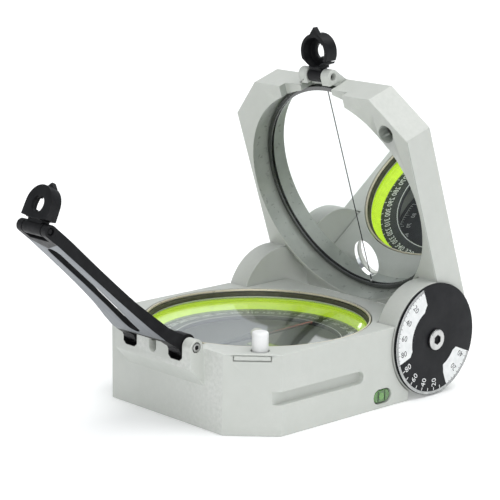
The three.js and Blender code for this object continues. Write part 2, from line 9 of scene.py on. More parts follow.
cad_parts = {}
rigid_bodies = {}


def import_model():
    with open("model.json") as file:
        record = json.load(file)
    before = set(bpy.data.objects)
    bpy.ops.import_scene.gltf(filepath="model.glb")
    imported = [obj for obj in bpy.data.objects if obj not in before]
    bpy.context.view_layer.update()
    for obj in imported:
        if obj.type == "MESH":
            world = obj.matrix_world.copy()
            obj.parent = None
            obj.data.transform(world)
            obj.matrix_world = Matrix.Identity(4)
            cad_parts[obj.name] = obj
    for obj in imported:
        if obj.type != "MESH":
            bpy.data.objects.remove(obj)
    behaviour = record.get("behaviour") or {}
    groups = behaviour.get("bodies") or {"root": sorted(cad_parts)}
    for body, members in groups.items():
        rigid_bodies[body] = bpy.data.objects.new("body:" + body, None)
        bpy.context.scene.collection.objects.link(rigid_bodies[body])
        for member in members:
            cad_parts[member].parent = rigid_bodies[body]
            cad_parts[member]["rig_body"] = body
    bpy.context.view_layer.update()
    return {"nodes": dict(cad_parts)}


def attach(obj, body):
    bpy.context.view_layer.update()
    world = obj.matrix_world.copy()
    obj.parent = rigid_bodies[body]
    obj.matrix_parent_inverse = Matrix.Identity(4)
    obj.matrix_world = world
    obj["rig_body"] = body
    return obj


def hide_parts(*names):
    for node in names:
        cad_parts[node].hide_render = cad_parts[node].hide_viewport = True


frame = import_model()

MM = 0.001
NODES = frame["nodes"]
SC = bpy.context.scene

# lid and arm placement, as in the CAD source (millimetres and degrees)
HINGE = (37.2, 17.1)
LID_OPEN = 71.2
ARM = (-38.1, 24.0)
ARM_ANGLE = 41.2
LID_M = Matrix.Translation((0, HINGE[0], HINGE[1])) @ Matrix.Rotation(-math.radians(LID_OPEN), 4, "X")
ARM_M = Matrix.Translation((0, ARM[0], ARM[1])) @ Matrix.Rotation(-math.radians(ARM_ANGLE), 4, "X")


# ------------------------------------------------------------------ camera
def make_camera():
    yaw, pitch, roll = math.radians(46.985), math.radians(-12.796), math.radians(0.549)
    fw = Vector((-math.sin(yaw) * math.cos(pitch), math.cos(yaw) * math.cos(pitch), math.sin(pitch)))
    rt = fw.cross(Vector((0, 0, 1))).normalized()
    up = rt.cross(fw)
    rt2 = rt * math.cos(roll) + up * math.sin(roll)
    up2 = up * math.cos(roll) - rt * math.sin(roll)
    data = bpy.data.cameras.new("camera")
    data.sensor_width = 36
    data.lens = 140.257
    data.clip_start, data.clip_end = 0.02, 20
    cam = bpy.data.objects.new("camera", data)
    m = Matrix((rt2, up2, -fw)).transposed().to_4x4()
    m.translation = Vector((403.197, -379.449, 168.834)) * MM
    cam.matrix_world = m
    SC.collection.objects.link(cam)
    SC.camera = cam


make_camera()


# ------------------------------------------------------------------ materials
def new_mat(name):
    m = bpy.data.materials.new(name)
    m.use_nodes = True
    nt = m.node_tree
    for n in list(nt.nodes):
        nt.nodes.remove(n)
    out = nt.nodes.new("ShaderNodeOutputMaterial")
    p = nt.nodes.new("ShaderNodeBsdfPrincipled")
    nt.links.new(p.outputs[0], out.inputs[0])
    return m, nt, p, out


def noise(nt, scale, detail=3.0, rough=0.55, stretch=None):
    co = nt.nodes.new("ShaderNodeTexCoord")
    src = co.outputs["Object"]
    if stretch:
        mp = nt.nodes.new("ShaderNodeMapping")
        mp.inputs["Scale"].default_value = stretch
        nt.links.new(src, mp.inputs[0])
        src = mp.outputs[0]
    n = nt.nodes.new("ShaderNodeTexNoise")
    n.inputs["Scale"].default_value = scale
    n.inputs["Detail"].default_value = detail
    n.inputs["Roughness"].default_value = rough
    nt.links.new(src, n.inputs["Vector"])
    return n.outputs["Fac"]


def ramp(nt, fac, stops):
    r = nt.nodes.new("ShaderNodeValToRGB")
    while len(r.color_ramp.elements) < len(stops):
        r.color_ramp.elements.new(0.5)
    for e, (pos, c) in zip(r.color_ramp.elements, stops):
        e.position = pos
        e.color = (c[0], c[1], c[2], 1) if len(c) == 3 else c
    nt.links.new(fac, r.inputs[0])
    return r.outputs[0]


def mat_range(nt, fac, lo, hi, a=0.3, b=0.7):
    m = nt.nodes.new("ShaderNodeMapRange")
    m.inputs["From Min"].default_value = a
    m.inputs["From Max"].default_value = b
    m.inputs["To Min"].default_value = lo
    m.inputs["To Max"].default_value = hi
    nt.links.new(fac, m.inputs["Value"])
    return m.outputs[0]


def surface(name, dark, light, rough=(0.35, 0.5), metallic=0.0, scale=260, grain=2600, bump=0.06, dist=0.00004,
            stretch=None, wear=None, specular=0.5, coat=0.0, fine_detail=4.0):
    """A finish with cloudy colour variation, uneven roughness, a fine grain in the normal and light edge wear."""
    m, nt, p, _ = new_mat(name)
    cloud = noise(nt, scale, 5.0, 0.6, stretch)
    colour = ramp(nt, cloud, [(0.32, dark), (0.68, light)])
    if wear:
        geo = nt.nodes.new("ShaderNodeNewGeometry")
        edge = ramp(nt, geo.outputs["Pointiness"], [(0.53, (0, 0, 0)), (0.60, (1, 1, 1))])
        mix = nt.nodes.new("ShaderNodeMix")
        mix.data_type = "RGBA"
        spots = noise(nt, 900, 4.0)
        mul = nt.nodes.new("ShaderNodeMath")
        mul.operation = "MULTIPLY"
        nt.links.new(edge, mul.inputs[0])
        nt.links.new(mat_range(nt, spots, 0.1, wear[1], 0.35, 0.65), mul.inputs[1])
        nt.links.new(mul.outputs[0], mix.inputs["Factor"])
        nt.links.new(colour, mix.inputs[6])
        mix.inputs[7].default_value = (*wear[0], 1)
        colour = mix.outputs[2]
    nt.links.new(colour, p.inputs["Base Color"])
    nt.links.new(mat_range(nt, noise(nt, scale * 2.2, 4.0, 0.6, stretch), rough[0], rough[1]), p.inputs["Roughness"])
    b = nt.nodes.new("ShaderNodeBump")
    b.inputs["Strength"].default_value = bump
    b.inputs["Distance"].default_value = dist
    nt.links.new(noise(nt, grain, fine_detail, 0.6, stretch), b.inputs["Height"])
    nt.links.new(b.outputs[0], p.inputs["Normal"])
    p.inputs["Metallic"].default_value = metallic
    p.inputs["Specular IOR Level"].default_value = specular
    p.inputs["Coat Weight"].default_value = coat
    return m


def through(nt, p, out, all_light=True):
    """Lets lamp and diffuse light pass the surface, so what is behind it stays lit."""
    tr = nt.nodes.new("ShaderNodeBsdfTransparent")
    lp = nt.nodes.new("ShaderNodeLightPath")
    mx = nt.nodes.new("ShaderNodeMixShader")
    add = nt.nodes.new("ShaderNodeMath")
    add.operation = "MAXIMUM"
    nt.links.new(lp.outputs["Is Shadow Ray"], add.inputs[0])
    nt.links.new(lp.outputs["Is Diffuse Ray"], add.inputs[1])
    nt.links.new(add.outputs[0], mx.inputs[0])
    nt.links.new(p.outputs[0], mx.inputs[1])
    nt.links.new(tr.outputs[0], mx.inputs[2])
    nt.links.new(mx.outputs[0], out.inputs[0])


def glass(name, colour, rough=0.0, ior=1.46, bump=0.0):
    m, nt, p, out = new_mat(name)
    p.inputs["Base Color"].default_value = (*colour, 1)
    p.inputs["Roughness"].default_value = rough
    p.inputs["IOR"].default_value = ior
    p.inputs["Transmission Weight"].default_value = 1.0
    b = nt.nodes.new("ShaderNodeBump")
    b.inputs["Strength"].default_value = bump
    b.inputs["Distance"].default_value = 0.00002
    nt.links.new(noise(nt, 60, 2.0), b.inputs["Height"])
    nt.links.new(b.outputs[0], p.inputs["Normal"])
    through(nt, p, out)
    return m


M = {}
M["body"] = surface("body_coat", (0.535, 0.556, 0.520), (0.560, 0.580, 0.545), (0.38, 0.48), 0.0, 210, 1500, 0.035, 0.00003,
                    wear=((0.74, 0.75, 0.72), 0.55), specular=0.55)
# The body paint made darker: painted shade on the lid's recessed pocket wall.
M["pocket"] = surface("pocket_wall_painted_shade", (0.300, 0.326, 0.296), (0.350, 0.374, 0.342), (0.26, 0.34), 0.1, 210, 1500, 0.03, 0.00003, specular=0.6)
M["black"] = surface("black_anodised", (0.0060, 0.0062, 0.0070), (0.0120, 0.0122, 0.0135), (0.34, 0.48), 0.0, 300, 3600, 0.14, 0.00003,
                     wear=((0.05, 0.05, 0.053), 0.5), specular=0.14)
# A lighter metallic copy of the black finish: painted sheen for the floor's reflection on the arm's underside.
M["web"] = surface("arm_underside_painted_sheen", (0.145, 0.158, 0.176), (0.215, 0.230, 0.248), (0.34, 0.50), 0.80, 200, 900, 0.08, 0.00003,
                   stretch=(1.0, 0.08, 0.08))
M["steel"] = surface("satin_steel", (0.46, 0.46, 0.45), (0.62, 0.62, 0.61), (0.22, 0.40), 1.0, 500, 1800, 0.10, 0.00002, stretch=(1, 1, 0.15))
M["lime"] = surface("luminous_ring_painted_glow", (0.50, 0.70, 0.008), (0.62, 0.82, 0.020), (0.40, 0.55), 0.0, 500, 2600, 0.10, 0.00003)
# Emission on the lime ring is painted glow; the ring is no lamp.
for _m, _e in (("lime", 0.60),):
    _p = next(n for n in M[_m].node_tree.nodes if n.type == "BSDF_PRINCIPLED")
    _p.inputs["Emission Color"].default_value = (0.45, 0.72, 0.01, 1)
    _p.inputs["Emission Strength"].default_value = _e
M["glass"] = glass("cover_glass", (0.97, 0.995, 0.985), 0.0, 1.52, 0.01)
M["gold"] = surface("pale_brass", (0.66, 0.60, 0.45), (0.74, 0.69, 0.54), (0.25, 0.38), 0.35, 400, 2200, 0.08, 0.00002)
M["olive"] = surface("gasket", (0.040, 0.044, 0.018), (0.075, 0.078, 0.035), (0.35, 0.55), 0.0, 500, 2800, 0.15, 0.00004)
M["glossring"] = surface("gloss_ring", (0.012, 0.014, 0.013), (0.030, 0.034, 0.032), (0.06, 0.14), 0.0, 500, 1500, 0.04, 0.00003, specular=0.9, coat=0.8)
M["dial"] = surface("dial_floor", (0.010, 0.011, 0.013), (0.022, 0.024, 0.028), (0.45, 0.65), 0.0, 260, 2600, 0.18, 0.00004)
M["ringgrey"] = surface("graduated_ring", (0.050, 0.054, 0.060), (0.085, 0.090, 0.098), (0.40, 0.55), 0.2, 260, 2600, 0.12, 0.00003)
M["white"] = surface("button_white", (0.80, 0.81, 0.81), (0.88, 0.885, 0.885), (0.30, 0.42), 0.0, 300, 2600, 0.05, 0.00003, specular=0.45)
M["print"] = surface("print_white", (0.74, 0.76, 0.76), (0.86, 0.87, 0.87), (0.45, 0.60), 0.0, 700, 3600, 0.08, 0.00002)
M["ink"] = surface("print_black", (0.008, 0.008, 0.009), (0.022, 0.022, 0.024), (0.40, 0.60), 0.0, 900, 3600, 0.05, 0.00002)
M["disc"] = surface("disc_black", (0.0075, 0.0080, 0.0095), (0.0125, 0.0130, 0.0150), (0.38, 0.50), 0.0, 240, 3400, 0.10, 0.00003, specular=0.18)
M["silver"] = surface("silver_rim", (0.38, 0.39, 0.385), (0.56, 0.57, 0.565), (0.25, 0.40), 0.9, 500, 2400, 0.08, 0.00002)
# Pale finish used only on the cover glass's edge ring: a painted highlight.
M["light"] = surface("glass_edge_painted_highlight", (0.62, 0.64, 0.61), (0.72, 0.74, 0.71), (0.35, 0.5), 0.1, 300, 2800, 0.08, 0.00003)
M["red"] = surface("needle_red", (0.50, 0.02, 0.015), (0.60, 0.04, 0.02), (0.35, 0.5), 0.0, 300, 2600, 0.05, 0.00002)
M["needle"] = surface("needle_dark", (0.030, 0.033, 0.040), (0.055, 0.060, 0.070), (0.35, 0.5), 0.0, 400, 2600, 0.05, 0.00002)
# Colour stripes drawn out upright: partly random tone, partly painted reflection for the light lines along the vial.
M["green"] = surface("level_green_painted_streaks", (0.015, 0.085, 0.006), (0.070, 0.240, 0.022), (0.04, 0.10), 0.0, 420, 900, 0.03, 0.00003,
                     stretch=(1, 1.0, 0.25), specular=0.8, coat=1.0)
M["bubble"] = surface("level_bubble", (0.08, 0.27, 0.035), (0.17, 0.40, 0.07), (0.05, 0.12), 0.0, 500, 900, 0.02, 0.00002, specular=0.8, coat=1.0)
M["vial"] = surface("vial_liquid", (0.34, 0.50, 0.02), (0.52, 0.70, 0.05), (0.05, 0.12), 0.0, 300, 900, 0.02, 0.00002, specular=0.8, coat=1.0)
M["darksteel"] = surface("blackened_pin", (0.045, 0.045, 0.048), (0.085, 0.085, 0.090), (0.28, 0.42), 0.9, 500, 1800, 0.10, 0.00002)
M["felt"] = surface("striker", (0.045, 0.046, 0.042), (0.080, 0.082, 0.075), (0.7, 0.9), 0.0, 900, 3600, 0.3, 0.00006)

_m, _nt, _p, _ = new_mat("mirror_silver")
_p.inputs["Metallic"].default_value = 1.0
_nt.links.new(ramp(_nt, noise(_nt, 30, 2.0), [(0.3, (0.90, 0.925, 0.915)), (0.7, (0.925, 0.945, 0.935))]), _p.inputs["Base Color"])
_p.inputs["Roughness"].default_value = 0.0
M["mirror"] = _m


# ------------------------------------------------------------------ mesh helpers
def add(name, mesh, body, slot, mats, replaces=()):
    ob = bpy.data.objects.new(name, mesh)
    SC.collection.objects.link(ob)
    for m in mats:
        ob.data.materials.append(M[m])
    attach(ob, body)
    if replaces:
        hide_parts(*replaces)
    return ob


def finish_mesh(bm, name, angle=38):
    bmesh.ops.recalc_face_normals(bm, faces=bm.faces)
    me = bpy.data.meshes.new(name)
    bm.to_mesh(me)
    bm.free()
    for poly in me.polygons:
        poly.use_smooth = True
    me.set_sharp_from_angle(angle=math.radians(angle))
    return me


def weighted(ob):
    w = ob.modifiers.new("weighted", "WEIGHTED_NORMAL")
    w.keep_sharp = True
    w.weight = 60
    return ob


def near(node, grow, top=1e9):
    """True for points within grow mm of a node's box and below top."""
    co = [v.co / MM for v in NODES[node].data.vertices]
    lo = [min(c[i] for c in co) - grow for i in range(3)]
    hi = [max(c[i] for c in co) + grow for i in range(3)]
    return lambda q: all(lo[i] <= q[i] / MM <= hi[i] for i in range(3)) and q[2] / MM < top


def from_node(node, mats, slot, bevel=0.2, segs=2, angle=28, body=None, pick=None, name=None, keep=None):
    """A finer copy of a CAD node: flat faces joined up, edges rounded, curved faces smooth."""
    src = NODES[node]
    bm = bmesh.new()
    bm.from_mesh(src.data)
    bmesh.ops.remove_doubles(bm, verts=bm.verts, dist=2e-6)
    bmesh.ops.dissolve_limit(bm, angle_limit=math.radians(0.5), verts=bm.verts, edges=bm.edges)
    bm.normal_update()
    if bevel:
        w = bevel * MM
        skin = BVHTree.FromBMesh(bm)
        edges = [e for e in bm.edges if len(e.link_faces) == 2 and e.calc_face_angle(0) > math.radians(angle)
                 and not (keep and keep((e.verts[0].co + e.verts[1].co) / 2))]
        bmesh.ops.bevel(bm, geom=edges, offset=w, offset_type="OFFSET", segments=segs, profile=0.5, affect="EDGES", clamp_overlap=False)
        for v in bm.verts:
            hit, _, _, gap = skin.find_nearest(v.co)
            if gap > 0.75 * w:
                v.co = hit
    bmesh.ops.triangulate(bm, faces=[f for f in bm.faces if len(f.verts) > 4], ngon_method="EAR_CLIP")
    bm.normal_update()
    if pick:
        for f in bm.faces:
            f.material_index = pick(f)
    me = finish_mesh(bm, name or node + "_fine")
    b = body or src["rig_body"]
    ob = add(name or node + "_fine", me, b, slot, mats, (node,))
    return weighted(ob)


def lathe(name, profile, body, slot, mats, m=None, n=160, replaces=(), angle=38, closed=True):
    """A closed profile of [r, z] in mm turned round Z, then placed by m (mm)."""
    bm = bmesh.new()
    m = m or Matrix.Identity(4)
    rings = []
    for r, z in profile:
        if r < 1e-6:
            rings.append([bm.verts.new((m @ Vector((0, 0, z))) * MM)])
        else:
            rings.append([bm.verts.new((m @ Vector((r * math.cos(2 * math.pi * i / n), r * math.sin(2 * math.pi * i / n), z))) * MM)
                          for i in range(n)])
    pairs = list(zip(rings, rings[1:]))
    if closed and len(rings[0]) > 1:
        pairs.append((rings[-1], rings[0]))
    for a, b in pairs:
        if len(a) == 1 and len(b) == 1:
            continue
        for i in range(n):
            j = (i + 1) % n
            if len(a) == 1:
                bm.faces.new((a[0], b[j], b[i]))
            elif len(b) == 1:
                bm.faces.new((a[i], a[j], b[0]))
            else:
                bm.faces.new((a[i], a[j], b[j], b[i]))
    me = finish_mesh(bm, name, angle)
    return add(name, me, body, slot, mats, replaces)


def rounded(points, radius, segs=3):
    """Rounds the corners of a closed [r, z] profile; corners on the axis stay."""
    out, n = [], len(points)
    for i, p in enumerate(points):
        if p[0] < 1e-6:
            out.append(p)
            continue
        a, b, c = Vector(points[i - 1]), Vector(p), Vector(points[(i + 1) % n])
        u, v = (a - b), (c - b)
        r = min(radius, u.length * 0.45, v.length * 0.45)
        u.normalize(), v.normalize()
        p0, p1 = b + u * r, b + v * r
        for k in range(segs + 1):
            t = k / segs
            q = p0 * (1 - t) ** 2 + b * (2 * t * (1 - t)) + p1 * t ** 2
            out.append((q.x, q.y))
    return out


_glyphs = {}


def glyph(text):
    """Flat outline mesh of a number, centred, about 1 high: vertices and faces."""
    if text not in _glyphs:
        cu = bpy.data.curves.new("t", "FONT")
        cu.body = text
        cu.size = 1.4
        cu.resolution_u = 2
        cu.align_x, cu.align_y = "CENTER", "CENTER"
        ob = bpy.data.objects.new("t", cu)
        SC.collection.objects.link(ob)
        dg = bpy.context.evaluated_depsgraph_get()
        me = bpy.data.meshes.new_from_object(ob.evaluated_get(dg))
        vs = [v.co.to_2d() for v in me.vertices]
        cx = (min(v.x for v in vs) + max(v.x for v in vs)) / 2
        cy = (min(v.y for v in vs) + max(v.y for v in vs)) / 2
        _glyphs[text] = ([(v.x - cx, v.y - cy) for v in vs], [tuple(p.vertices) for p in me.polygons])
        bpy.data.objects.remove(ob)
        bpy.data.curves.remove(cu)
        bpy.data.meshes.remove(me)
    return _glyphs[text]


class Print:
    """Flat inked shapes on a plane, drawn in mm in the plane's own x, y, and given a hair of thickness."""

    def __init__(self, place, thick=0.02):
        self.place, self.thick, self.v, self.f = place, thick, [], []

    def poly(self, pts):
        n = len(self.v)
        self.v += pts
        self.f.append(tuple(range(n, n + len(pts))))

    def tick(self, a, r0, r1, w):
        c, s = math.cos(a), math.sin(a)
        self.poly([(r * c - t * s, r * s + t * c) for r, t in ((r0, -w / 2), (r1, -w / 2), (r1, w / 2), (r0, w / 2))])

    def arc(self, r0, r1, a0, a1, n=24):
        for i in range(n):
            p, q = a0 + (a1 - a0) * i / n, a0 + (a1 - a0) * (i + 1) / n
            self.poly([(r0 * math.cos(p), r0 * math.sin(p)), (r1 * math.cos(p), r1 * math.sin(p)),
                       (r1 * math.cos(q), r1 * math.sin(q)), (r0 * math.cos(q), r0 * math.sin(q))])

    def text(self, s, x, y, h, turn):
        vs, fs = glyph(s)
        n, c, d = len(self.v), math.cos(turn), math.sin(turn)
        self.v += [(x + h * (a * c - b * d), y + h * (a * d + b * c)) for a, b in vs]
        self.f += [tuple(n + i for i in f) for f in fs]

    def make(self, name, body, slot, mat):
        bm = bmesh.new()
        vs = [bm.verts.new((self.place @ Vector((x, y, 0))) * MM) for x, y in self.v]
        for f in self.f:
            try:
                bm.faces.new([vs[i] for i in f])
            except ValueError:
                pass
        bmesh.ops.remove_doubles(bm, verts=bm.verts, dist=1e-7)
        up = (self.place.to_3x3() @ Vector((0, 0, 1))).normalized()
        bm.normal_update()
        for f in bm.faces:
            if f.normal.dot(up) < 0:
                f.normal_flip()
        r = bmesh.ops.extrude_face_region(bm, geom=list(bm.faces))
        top = [g for g in r["geom"] if isinstance(g, bmesh.types.BMVert)]
        bmesh.ops.translate(bm, verts=top, vec=up * self.thick * MM)
        bmesh.ops.recalc_face_normals(bm, faces=bm.faces)
        me = bpy.data.meshes.new(name)
        bm.to_mesh(me)
        bm.free()
        return add(name, me, body, slot, [mat])


rad = math.radians

# ------------------------------------------------------------------ body castings


# The base's own wall faces inside the arm-leg pockets take the black material: painted shade in the recesses.
def leg_pocket(f):
    c = f.calc_center_median() / MM
    return 1 if 6.8 < abs(c.x) < 12.7 and -40.45 < c.y < -35.3 and 19.6 < c.z < 23.3 and f.normal.y > -0.8 else 0


from_node("base_case", ["body", "black"], "body", 0.25, pick=leg_pocket, keep=near("chamfer_slot_bar", 0.9, 23.2))
_lid_in = LID_M.inverted()
_pad = [_lid_in @ (v.co / MM) for v in NODES["striker_pad"].data.vertices]
_pad = [(min(c[i] for c in _pad) + max(c[i] for c in _pad)) / 2 for i in range(2)]


# Picks the lid's inner pocket wall for the darker painted-shade material, and the striker pad for felt.
def lid_face(f):
    c = _lid_in @ (f.calc_center_median() / MM)
    n = (_lid_in.to_3x3() @ f.normal).normalized()
    r = math.hypot(c.x, c.y + 37.2)
    if math.hypot(c.x - _pad[0], c.y - _pad[1]) < 2.3 and c.z > 6.8:
        return 2
    return 1 if r < 36.2 and 5.0 < c.z < 15.5 and abs(n.z) < 0.9 else 0


from_node("lid_frame", ["body", "pocket", "felt"], "body", 0.25, pick=lid_face, keep=near("striker_pad", 2.5))

# ------------------------------------------------------------------ arm and sights
_un = (ARM_M.to_3x3() @ Vector((0, 0, -1))).normalized()
_ao = ARM_M @ Vector((0, 0, 0))


# Picks the arm's underside faces for the lighter painted-sheen copy of the black finish.
def arm_face(f):
    c = ARM_M.inverted() @ (f.calc_center_median() / MM)
    return 1 if f.normal.dot(_un) > 0.9 and -50.5 < c.y < -6.0 and c.z < 0 else 0


from_node("sight_arm", ["black", "web"], "black", 0.16, pick=arm_face)
from_node("arm_sight", ["black"], "black", 0.14)
from_node("lid_sight", ["black"], "black", 0.14)
for _n in ("arm_sight_pin", "lid_sight_pin"):
    from_node(_n, ["black"], "steel", 0.08, angle=60)


def recess(y, z, r):
    """Second material for the faces of a drive recess round the axis at y, z."""
    return lambda f: 1 if math.hypot(f.calc_center_median().y / MM - y, f.calc_center_median().z / MM - z) < r else 0


from_node("arm_hinge_pin", ["steel", "ink"], "steel", 0.08, angle=50, pick=recess(ARM[0], ARM[1], 0.72))
for _n in ("hinge_screw_right", "hinge_screw_left"):
    from_node(_n, ["steel", "ink"], "steel", 0.08, angle=50, pick=recess(HINGE[0], HINGE[1], 1.42))
from_node("chamfer_slot_bar", ["body"], "light", 0.08)

# ------------------------------------------------------------------ glass, rings and trim on the base
lathe("lume_ring_fine", rounded([(30.4, 16.3), (33.3, 16.3), (33.3, 19.2), (32.6, 19.2)], 0.2), "base", "lime", ["lime"], replaces=("lume_ring",))
lathe("cover_glass_fine", [(0, 19.5), (33.0, 19.5), (33.2, 19.7), (33.2, 20.7), (33.0, 20.9), (0, 20.9)], "base", "glass", ["glass"],
      replaces=("cover_glass",), n=192, angle=20)
lathe("glass_gasket_fine", rounded([(32.1, 21.2), (33.3, 21.2), (33.3, 22.4), (32.5, 22.4)], 0.15), "base", "olive", ["olive"],
      replaces=("glass_gasket",), n=192)
lathe("bezel_ring_fine", rounded([(32.7, 22.7), (33.3, 22.7), (33.3, 23.2), (32.8, 23.2)], 0.08), "base", "gold", ["gold"],
      replaces=("bezel_ring",), n=192)
# A pale ring on the cover glass's top edge: painted highlight for the light the glass edge catches.
lathe("cover_glass_edge_painted_highlight", rounded([(32.15, 20.94), (33.2, 20.94), (33.2, 21.12), (32.15, 21.12)], 0.05), "base", "light", ["light"], n=192)
lathe("dial_plate_fine", rounded([(10.2, 3.5), (31.9, 3.5), (31.9, 4.3), (10.2, 4.3)], 0.1), "base", "dial", ["dial"], replaces=("dial_plate",))
from_node("needle_pivot", ["steel"], "steel", 0.0)
from_node("lift_bracket", ["steel"], "steel", 0.1)
from_node("lift_lever_pin", ["steel"], "steel", 0.05, angle=50)
from_node("lift_lever", ["steel"], "steel", 0.08)
NODES["lift_spring"].data.materials.clear()
NODES["lift_spring"].data.materials.append(M["steel"])

# button: a domed cap on a stem
BX, BY = 28.0, -25.2
_bt = Matrix.Translation((BX, BY, 0))
_cap = [(1.75 + 0.55 * math.cos(rad(t)), 28.15 + 0.62 * math.sin(rad(t))) for t in range(0, 91, 15)]
lathe("lift_button_fine", [(0, 13.75), (1.3, 13.75), (1.3, 20.5), (2.15, 20.5), (2.3, 20.7)] + _cap + [(0, 28.8)],
      "lift_button", "white", ["white"], m=_bt, n=64, replaces=("lift_button",), angle=50)

# ------------------------------------------------------------------ needle, ring, clinometer
from_node("needle_bar", ["needle", "red"], "needle", 0.06, pick=lambda f: 1 if f.calc_center_median().y > 0.0145 else 0)
from_node("needle_cap", ["gold"], "gold", 0.08, angle=40)
lathe("azimuth_ring_fine", rounded([(24.4, 14.6), (31.9, 14.6), (31.9, 15.8), (24.7, 15.8), (24.4, 15.5)], 0.1), "azimuth_ring", "dial",
      ["dial"], replaces=("azimuth_ring",))
pr = Print(Matrix.Translation((0, 0, 15.8)))
for i in range(360):
    a = rad(i)
    pr.tick(a, 31.6, 30.0 if i % 10 == 0 else (30.3 if i % 5 == 0 else 30.7), 0.26 if i % 5 == 0 else 0.17)
for i in range(0, 360, 10):
    a = rad(90 - i)
    pr.text(str(i), 28.4 * math.cos(a), 28.4 * math.sin(a), 2.0, a - math.pi / 2)
pr.arc(24.75, 25.0, 0, 2 * math.pi, 120)
pr.make("azimuth_print", "azimuth_ring", "white", "print")

pr = Print(Matrix.Translation((0, 0, 4.3)))
for i in range(-90, 91, 2):
    pr.tick(rad(90 + i), 30.2, 28.6 if i % 10 == 0 else 29.4, 0.14)
for i in range(-90, 91, 10):
    a = rad(90 + i)
    pr.text(str(abs(i)), 26.8 * math.cos(a), 26.8 * math.sin(a), 1.6, a - math.pi / 2)
pr.arc(30.2, 30.35, 0, math.pi, 60)
for i in range(-45, 46, 5):
    pr.tick(rad(270 + i), 24.0, 23.0 if i % 15 else 22.2, 0.16)
pr.arc(24.0, 24.15, rad(225), rad(315), 40)
pr.make("dial_print", "base", "white", "print")

from_node("clinometer_vane", ["steel"], "steel", 0.06)
from_node("clinometer_drive_pin", ["steel"], "steel", 0.05, angle=50)
from_node("clinometer_lever", ["black"], "black", 0.1)
_be = Matrix.Translation((0, -12.3, 0))
lathe("bulls_eye_cup_fine", rounded([(6.4, 5.7), (6.4, 9.8), (5.8, 9.8), (5.8, 6.5)], 0.12)[0:] + [(0, 6.5), (0, 5.7)], "clinometer", "gold", ["gold"],
      m=_be, n=72, replaces=("bulls_eye_cup",), closed=True)
_dome = [(5.5 * math.cos(rad(t)), 9.4 + 0.95 * math.sin(rad(t))) for t in range(0, 90, 9)]
lathe("bulls_eye_vial_fine", [(0, 6.8), (5.5, 6.8)] + _dome + [(0, 10.35)], "clinometer", "vial", ["vial"], m=_be, n=72,
      replaces=("bulls_eye_vial",))
lathe("bulls_eye_mark", [(2.35, 10.27), (2.75, 10.22), (2.75, 10.32), (2.35, 10.37)], "clinometer", "black", ["ink"], m=_be, n=48)
_bub = Matrix.Translation((0.5, -12.0, 0))
lathe("bulls_eye_bubble", [(0, 10.36), (1.5, 10.30), (1.9, 10.26), (1.5, 10.42), (0.8, 10.47), (0, 10.48)], "clinometer", "vial", ["bubble"], m=_bub, n=36)
_tv = Matrix.Translation((0, 12.0, 8.05)) @ Matrix.Rotation(math.pi / 2, 4, "Y")
lathe("tube_level_vial_fine", [(0, -9.4), (1.2, -9.4), (1.9, -8.9), (2.2, -8.2), (2.2, 8.2), (1.9, 8.9), (1.2, 9.4), (0, 9.4)], "clinometer", "vial",
      ["vial"], m=_tv, n=48, replaces=("tube_level_vial",))
for _i, _z in enumerate((-2.6, 2.6)):
    lathe("tube_level_line_%d" % (_i + 1), [(2.2, _z - 0.15), (2.235, _z - 0.15), (2.235, _z + 0.15), (2.2, _z + 0.15)], "clinometer", "black",
          ["ink"], m=_tv, n=48)
for _n in ("tube_level_clip_left", "tube_level_clip_right"):
    from_node(_n, ["steel"], "steel", 0.08)
from_node("ring_adjuster", ["steel"], "steel", 0.08, angle=50)

# ------------------------------------------------------------------ side level in its window
from_node("side_level_vial", ["green"], "green", 0.35, segs=4)
_sl = Matrix.Translation((35.12, 16.55, 3.5)) @ Matrix(((0, 0, 1, 0), (1, 0, 0, 0), (0, 1, 0, 0), (0, 0, 0, 1)))
pr = Print(_sl, 0.05)
pts = [(0.75 * 1.25 * math.cos(t), 1.0 * 1.05 * math.sin(t)) for t in [2 * math.pi * i / 28 for i in range(28)]]
pr.poly([(x - 0.2, y) for x, y in pts])
pr.make("side_level_bubble", "base", "green", "bubble")
pr = Print(_sl, 0.07)
for x in (-1.5, 1.25):
    pr.poly([(x - 0.09, -1.5), (x + 0.09, -1.5), (x + 0.09, 1.5), (x - 0.09, 1.5)])
pr.make("side_level_lines", "base", "black", "ink")

# ------------------------------------------------------------------ an ink dot and a painted-shade triangle on the base top
pr = Print(Matrix.Translation((0, 0, 23.4)))
# Black triangle: painted shade for the shaded notch beside the right hinge drum.
pr.poly([(28.0, 21.2), (29.6, 22.6), (28.1, 22.7)])
# Round ink dot by the lift button.
pr.poly([(26.5 + 0.42 * math.cos(t), -26.9 + 0.42 * math.sin(t)) for t in [2 * math.pi * i / 18 for i in range(18)]])
pr.make("base_ink_dot_and_painted_shade_notch", "base", "black", "ink")

# ------------------------------------------------------------------ mirror
from_node("mirror", ["mirror"], "mirror", 0.0, angle=60)
_mc = LID_M @ Matrix.Translation((0, -37.2, 0))
lathe("mirror_ring_fine", rounded([(32.5, 12.9), (33.9, 12.9), (33.9, 13.3), (32.5, 13.3)], 0.18, 4), "lid", "olive", ["glossring"],
      m=_mc, n=192, replaces=("mirror_ring",))
# the axial line stands a hair in front of the mirror and crosses the window
pr = Print(LID_M @ Matrix.Translation((0, 0, 13.58)) @ Matrix.Rotation(math.pi, 4, "X"), 0.03)
pr.poly([(-0.18, 4.9), (0.18, 4.9), (0.18, 69.6), (-0.18, 69.6)])
pr.make("mirror_axis_line", "lid", "black", "ink")
lathe("mirror_line_stud", [(0, 13.1), (0.35, 13.15), (0.5, 13.35), (0.5, 13.55), (0, 13.55)], "lid", "steel", ["steel"],
      m=LID_M @ Matrix.Translation((0, -5.2, 0)), n=24)
from_node("striker_pad", ["felt"], "olive", 0.1, angle=50)

